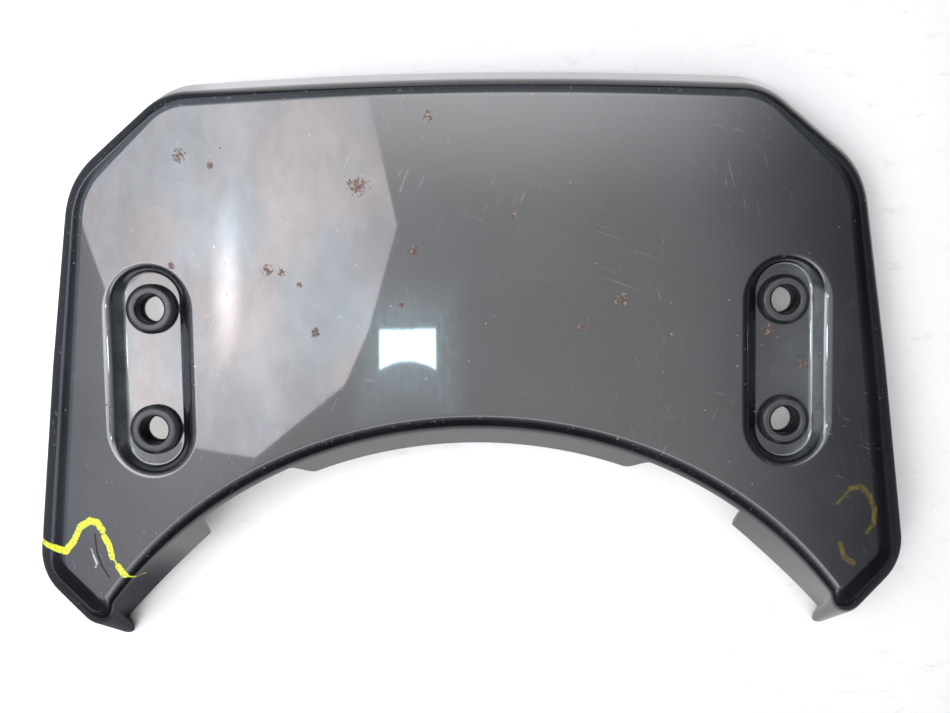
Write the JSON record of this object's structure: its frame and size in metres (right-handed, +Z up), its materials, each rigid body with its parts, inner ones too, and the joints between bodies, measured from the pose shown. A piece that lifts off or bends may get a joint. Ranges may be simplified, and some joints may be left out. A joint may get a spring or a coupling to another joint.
{
  "type": "motorcycle windshield screen",
  "caption": "Low wrapped motorcycle windshield screen with a headlight arch, turned-back rim and recessed oblong pockets holding rubber mounting grommets.",
  "frame": {"origin": "middle of the underside of the bounding box, with the screen lying face up on its rear edge", "axes": "+X to the right across the screen as seen from its face, +Y up the screen towards its top edge, +Z up out of the face. The grommet bores lean 7.69 degrees from Z towards +Y"},
  "size_m": [0.3474, 0.2246, 0.0457],
  "materials": {
    "smoked_moulding": "polished dark smoked plastic",
    "black_rubber": "matt black rubber"
  },
  "bodies": {
    "root": {"screen_shell": "smoked_moulding", "grommet_upper_left": "black_rubber", "grommet_lower_left": "black_rubber", "grommet_upper_right": "black_rubber", "grommet_lower_right": "black_rubber"}
  },
  "joints": []
}
